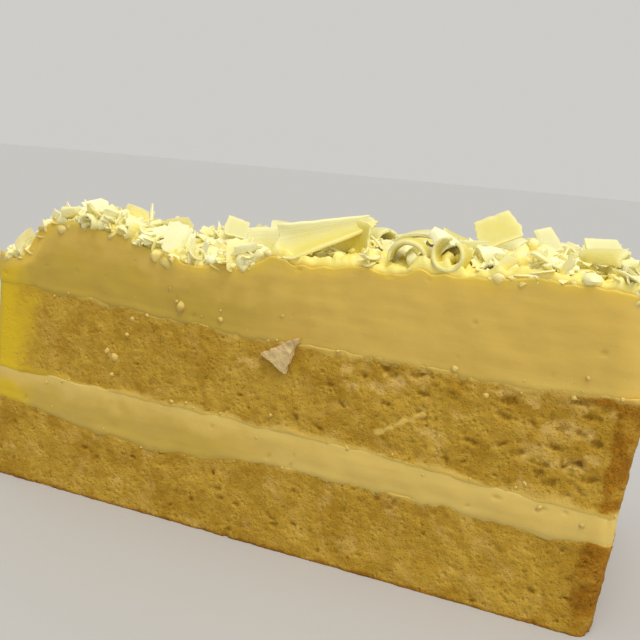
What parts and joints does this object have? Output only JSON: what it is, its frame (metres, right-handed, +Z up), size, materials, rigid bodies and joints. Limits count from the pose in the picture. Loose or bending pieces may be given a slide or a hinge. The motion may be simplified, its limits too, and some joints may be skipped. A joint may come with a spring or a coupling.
{
  "type": "cake slice",
  "caption": "Wedge of lemon layer cake: soft sponge and lemon cream in turn, topped with a heap of white chocolate shavings and curls.",
  "frame": {"origin": "on the flat base, at the middle of the slice's length and width", "axes": "+X along the slice from its tip to the rim of the cake, -Y out of the cut face that the picture shows, +Z up"},
  "size_m": [0.1218, 0.0674, 0.062],
  "materials": {
    "base_sponge": "open, crumbly sponge with a browned rim",
    "cream_filling": "smooth lemon cream, satin",
    "upper_sponge": "open, crumbly sponge with a browned rim and top edge",
    "top_cream": "smooth lemon cream, satin, with a few crumbs",
    "fine_shavings": "crumbly white chocolate, matt",
    "shaving": "white chocolate, waxy and slightly translucent",
    "flake": "matt, slightly darker cream"
  },
  "bodies": {
    "root": {"base_sponge": "base_sponge", "cream_filling": "cream_filling", "upper_sponge": "upper_sponge", "top_cream": "top_cream", "shaving_heap": "fine_shavings", "shaving_trough": "shaving", "shaving_leaf": "shaving", "shaving_scroll": "shaving", "shaving_hoop": "shaving", "shaving_hood": "shaving", "shaving_rim_chip": "shaving", "shaving_rim_curl": "shaving", "shaving_mid_chip": "shaving", "shaving_stub": "shaving", "shaving_back_01": "shaving", "shaving_back_02": "shaving", "shaving_back_03": "shaving", "shaving_back_04": "shaving", "shaving_back_05": "shaving", "shaving_back_06": "shaving", "shaving_back_07": "shaving", "shaving_back_08": "shaving", "face_flake": "flake"}
  },
  "joints": []
}
